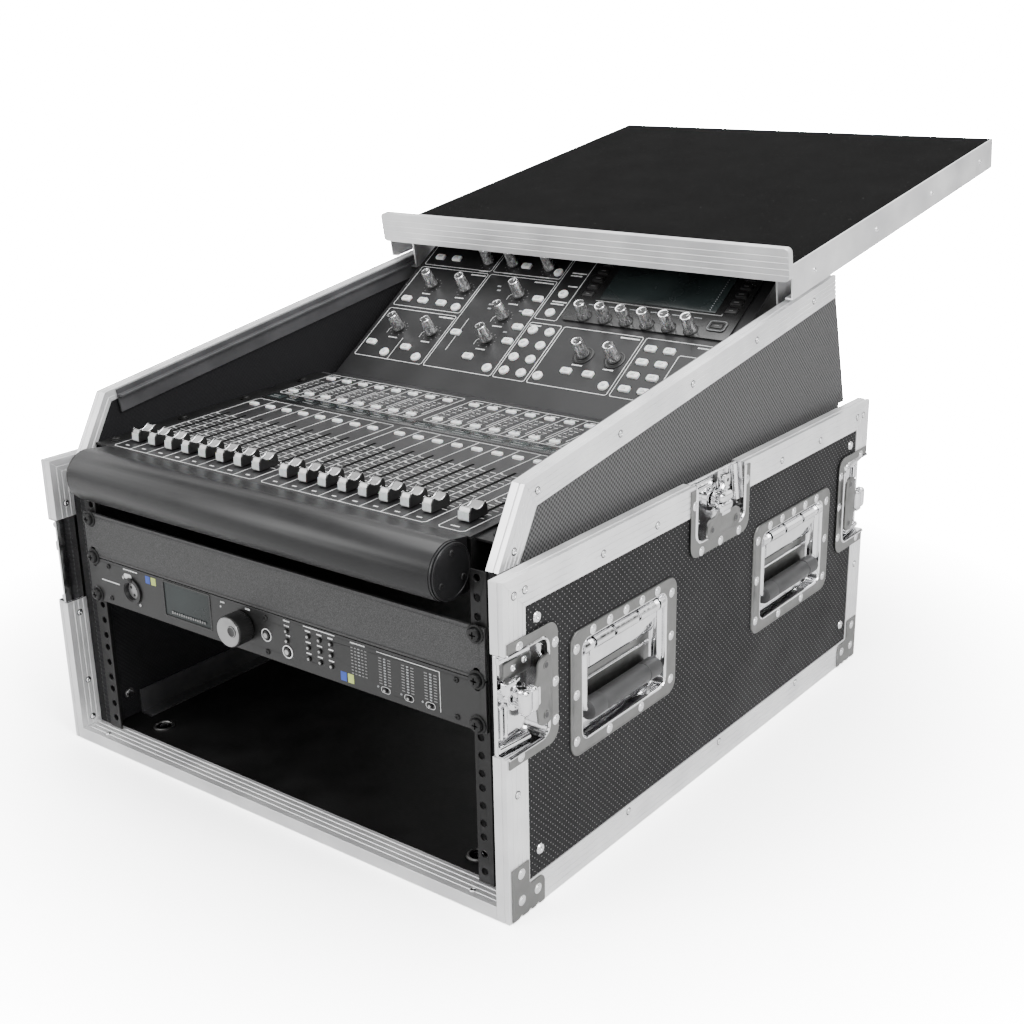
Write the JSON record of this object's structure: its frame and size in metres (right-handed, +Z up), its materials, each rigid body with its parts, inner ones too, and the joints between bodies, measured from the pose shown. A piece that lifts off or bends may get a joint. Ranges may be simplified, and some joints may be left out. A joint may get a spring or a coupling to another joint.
{
  "type": "rack effects unit",
  "caption": "Slant-top rack flight case with rack effects unit, blank panel and mixing console, sliding keyboard shelf, recessed spring handles and butterfly latches",
  "frame": {"origin": "centre of the lower box's base, on the ground", "axes": "+Z up, +Y to the rear, so -Y is the rack's open front; +X is the right-hand side seen from behind the front"},
  "size_m": [0.5564, 0.9888, 0.5223],
  "materials": {
    "laminate": "black laminate with a fine pattern of small dimples, on plywood",
    "plywood": "black painted plywood",
    "grey_laminate": "dark grey woven-pattern laminate outside, black inside",
    "extrusion": "satin anodised extrusion with long grooves",
    "black_steel": "satin black powder coat",
    "dark_steel": "dark grey paint",
    "plated_steel": "zinc and chrome plate",
    "grey_panel": "fine-textured dark grey paint",
    "screen": "dark glossy screen",
    "socket_plastic": "black plastic",
    "circuit_board": "green circuit board",
    "knob_plastic": "satin black",
    "knob_metal": "dark grey knob with a bright rim",
    "white_key": "translucent white",
    "fader_cap": "silver cap",
    "felt": "black felt covering on plywood"
  },
  "bodies": {
    "case": {"floor_panel": "plywood", "side_panel_left": "laminate", "side_panel_right": "laminate", "edge_frames": "extrusion", "cross_sills": "extrusion", "slant_panels": "grey_laminate", "slant_trims": "extrusion", "rack_rails": "black_steel", "support_angles": "dark_steel", "pressed_dishes": "plated_steel", "case_rivets": "plated_steel", "rack_screws": "black_steel", "blank_panel": "grey_panel", "processor_chassis": "black_steel", "processor_face": "grey_panel", "processor_display": "screen", "processor_sockets": "socket_plastic", "processor_board": "circuit_board", "mixer_tub": "black_steel", "mixer_roll": "black_steel", "fader_panel": "grey_panel", "knob_panel": "grey_panel", "mixer_screen": "screen", "mixer_board": "circuit_board"},
    "shelf": {"shelf_board": "felt", "shelf_frame": "extrusion"},
    "handle_front_right": {"handle_front_right": "plated_steel"},
    "handle_rear_right": {"handle_rear_right": "plated_steel"},
    "handle_front_left": {"handle_front_left": "plated_steel"},
    "handle_rear_left": {"handle_rear_left": "plated_steel"},
    "latch_key_front_right": {"latch_key_front_right": "plated_steel"},
    "latch_key_top_right": {"latch_key_top_right": "plated_steel"},
    "latch_key_rear_right": {"latch_key_rear_right": "plated_steel"},
    "latch_key_front_left": {"latch_key_front_left": "plated_steel"},
    "latch_key_top_left": {"latch_key_top_left": "plated_steel"},
    "latch_key_rear_left": {"latch_key_rear_left": "plated_steel"},
    "processor_knob": {"processor_knob": "knob_plastic"},
    "processor_buttons": {"processor_buttons": "socket_plastic"},
    "channel_faders": {"channel_faders": "fader_cap"},
    "main_fader": {"main_fader": "fader_cap"},
    "channel_buttons": {"channel_buttons": "white_key"},
    "master_buttons": {"master_buttons": "white_key"},
    "bus_knob_1": {"bus_knob_1": "knob_metal"},
    "bus_knob_2": {"bus_knob_2": "knob_metal"},
    "bus_knob_3": {"bus_knob_3": "knob_metal"},
    "preamp_knob_1": {"preamp_knob_1": "knob_metal"},
    "preamp_knob_2": {"preamp_knob_2": "knob_metal"},
    "gate_knob": {"gate_knob": "knob_metal"},
    "comp_knob": {"comp_knob": "knob_metal"},
    "eq_knob_high": {"eq_knob_high": "knob_metal"},
    "eq_knob_mid": {"eq_knob_mid": "knob_metal"},
    "eq_knob_low": {"eq_knob_low": "knob_metal"},
    "screen_knob_1": {"screen_knob_1": "knob_metal"},
    "screen_knob_2": {"screen_knob_2": "knob_metal"},
    "screen_knob_3": {"screen_knob_3": "knob_metal"},
    "screen_knob_4": {"screen_knob_4": "knob_metal"},
    "screen_knob_5": {"screen_knob_5": "knob_metal"},
    "screen_knob_6": {"screen_knob_6": "knob_metal"},
    "monitor_knob_1": {"monitor_knob_1": "knob_metal"},
    "monitor_knob_2": {"monitor_knob_2": "knob_metal"}
  },
  "joints": [
    {"name": "shelf_slide", "type": "slide", "parent": "case", "child": "shelf", "axis": [0, -0.9885, -0.1513], "range_m": [0, 0.42]},
    {"name": "handle_hinge_front_right", "type": "hinge", "parent": "case", "child": "handle_front_right", "pos_m": [0.2692, -0.148, 0.198], "axis": [0, -1, 0], "range_deg": [0, 90]},
    {"name": "handle_hinge_rear_right", "type": "hinge", "parent": "case", "child": "handle_rear_right", "pos_m": [0.2692, 0.1475, 0.198], "axis": [0, -1, 0], "range_deg": [0, 90]},
    {"name": "handle_hinge_front_left", "type": "hinge", "parent": "case", "child": "handle_front_left", "pos_m": [-0.2692, -0.148, 0.198], "axis": [0, 1, 0], "range_deg": [0, 90]},
    {"name": "handle_hinge_rear_left", "type": "hinge", "parent": "case", "child": "handle_rear_left", "pos_m": [-0.2692, 0.1475, 0.198], "axis": [0, 1, 0], "range_deg": [0, 90]},
    {"name": "latch_turn_front_right", "type": "hinge", "parent": "case", "child": "latch_key_front_right", "pos_m": [0.265, -0.2865, 0.1875], "axis": [1, 0, 0], "range_deg": [0, 180]},
    {"name": "latch_turn_top_right", "type": "hinge", "parent": "case", "child": "latch_key_top_right", "pos_m": [0.265, 0.0035, 0.2644], "axis": [1, 0, 0], "range_deg": [0, 180]},
    {"name": "latch_turn_rear_right", "type": "hinge", "parent": "case", "child": "latch_key_rear_right", "pos_m": [0.265, 0.2865, 0.1875], "axis": [1, 0, 0], "range_deg": [0, 180]},
    {"name": "latch_turn_front_left", "type": "hinge", "parent": "case", "child": "latch_key_front_left", "pos_m": [-0.265, -0.2865, 0.1875], "axis": [-1, 0, 0], "range_deg": [0, 180]},
    {"name": "latch_turn_top_left", "type": "hinge", "parent": "case", "child": "latch_key_top_left", "pos_m": [-0.265, 0.0035, 0.2644], "axis": [-1, 0, 0], "range_deg": [0, 180]},
    {"name": "latch_turn_rear_left", "type": "hinge", "parent": "case", "child": "latch_key_rear_left", "pos_m": [-0.265, 0.2865, 0.1875], "axis": [-1, 0, 0], "range_deg": [0, 180]},
    {"name": "processor_knob_turn", "type": "hinge", "parent": "case", "child": "processor_knob", "pos_m": [-0.029, -0.2933, 0.17425], "axis": [0, -1, 0], "continuous": true},
    {"name": "processor_button_press", "type": "slide", "parent": "case", "child": "processor_buttons", "axis": [0, 1, 0], "range_m": [0, 0.001]},
    {"name": "channel_faders_slide", "type": "slide", "parent": "case", "child": "channel_faders", "axis": [0, 0.9997, 0.0227], "range_m": [0, 0.1]},
    {"name": "main_fader_slide", "type": "slide", "parent": "case", "child": "main_fader", "axis": [0, 0.9997, 0.0227], "range_m": [0, 0.1]},
    {"name": "channel_button_press", "type": "slide", "parent": "case", "child": "channel_buttons", "axis": [0, 0.0227, -0.9997], "range_m": [0, 0.001]},
    {"name": "master_button_press", "type": "slide", "parent": "case", "child": "master_buttons", "axis": [0, 0.5446, -0.8387], "range_m": [0, 0.001]},
    {"name": "bus_knob_1_turn", "type": "hinge", "parent": "case", "child": "bus_knob_1", "pos_m": [-0.1265, 0.18701, 0.4125], "axis": [0, -0.5446, 0.8387], "continuous": true},
    {"name": "bus_knob_2_turn", "type": "hinge", "parent": "case", "child": "bus_knob_2", "pos_m": [-0.093, 0.18743, 0.41277], "axis": [0, -0.5446, 0.8387], "continuous": true},
    {"name": "bus_knob_3_turn", "type": "hinge", "parent": "case", "child": "bus_knob_3", "pos_m": [-0.044, 0.18743, 0.41277], "axis": [0, -0.5446, 0.8387], "continuous": true},
    {"name": "preamp_knob_1_turn", "type": "hinge", "parent": "case", "child": "preamp_knob_1", "pos_m": [-0.1785, 0.14969, 0.38826], "axis": [0, -0.5446, 0.8387], "continuous": true},
    {"name": "preamp_knob_2_turn", "type": "hinge", "parent": "case", "child": "preamp_knob_2", "pos_m": [-0.1315, 0.14969, 0.38826], "axis": [0, -0.5446, 0.8387], "continuous": true},
    {"name": "gate_knob_turn", "type": "hinge", "parent": "case", "child": "gate_knob", "pos_m": [-0.1785, 0.0914, 0.35041], "axis": [0, -0.5446, 0.8387], "continuous": true},
    {"name": "comp_knob_turn", "type": "hinge", "parent": "case", "child": "comp_knob", "pos_m": [-0.1325, 0.09182, 0.35068], "axis": [0, -0.5446, 0.8387], "continuous": true},
    {"name": "eq_knob_high_turn", "type": "hinge", "parent": "case", "child": "eq_knob_high", "pos_m": [-0.0585, 0.15053, 0.3888], "axis": [0, -0.5446, 0.8387], "continuous": true},
    {"name": "eq_knob_mid_turn", "type": "hinge", "parent": "case", "child": "eq_knob_mid", "pos_m": [-0.0585, 0.12201, 0.37028], "axis": [0, -0.5446, 0.8387], "continuous": true},
    {"name": "eq_knob_low_turn", "type": "hinge", "parent": "case", "child": "eq_knob_low", "pos_m": [-0.0585, 0.09308, 0.3515], "axis": [0, -0.5446, 0.8387], "continuous": true},
    {"name": "screen_knob_1_turn", "type": "hinge", "parent": "case", "child": "screen_knob_1", "pos_m": [0.0378, 0.13417, 0.37818], "axis": [0, -0.5446, 0.8387], "continuous": true},
    {"name": "screen_knob_2_turn", "type": "hinge", "parent": "case", "child": "screen_knob_2", "pos_m": [0.0627, 0.13417, 0.37818], "axis": [0, -0.5446, 0.8387], "continuous": true},
    {"name": "screen_knob_3_turn", "type": "hinge", "parent": "case", "child": "screen_knob_3", "pos_m": [0.0876, 0.13417, 0.37818], "axis": [0, -0.5446, 0.8387], "continuous": true},
    {"name": "screen_knob_4_turn", "type": "hinge", "parent": "case", "child": "screen_knob_4", "pos_m": [0.1125, 0.13417, 0.37818], "axis": [0, -0.5446, 0.8387], "continuous": true},
    {"name": "screen_knob_5_turn", "type": "hinge", "parent": "case", "child": "screen_knob_5", "pos_m": [0.1374, 0.13417, 0.37818], "axis": [0, -0.5446, 0.8387], "continuous": true},
    {"name": "screen_knob_6_turn", "type": "hinge", "parent": "case", "child": "screen_knob_6", "pos_m": [0.1623, 0.13417, 0.37818], "axis": [0, -0.5446, 0.8387], "continuous": true},
    {"name": "monitor_knob_1_turn", "type": "hinge", "parent": "case", "child": "monitor_knob_1", "pos_m": [0.0645, 0.09182, 0.35068], "axis": [0, -0.5446, 0.8387], "continuous": true},
    {"name": "monitor_knob_2_turn", "type": "hinge", "parent": "case", "child": "monitor_knob_2", "pos_m": [0.1015, 0.09182, 0.35068], "axis": [0, -0.5446, 0.8387], "continuous": true}
  ]
}
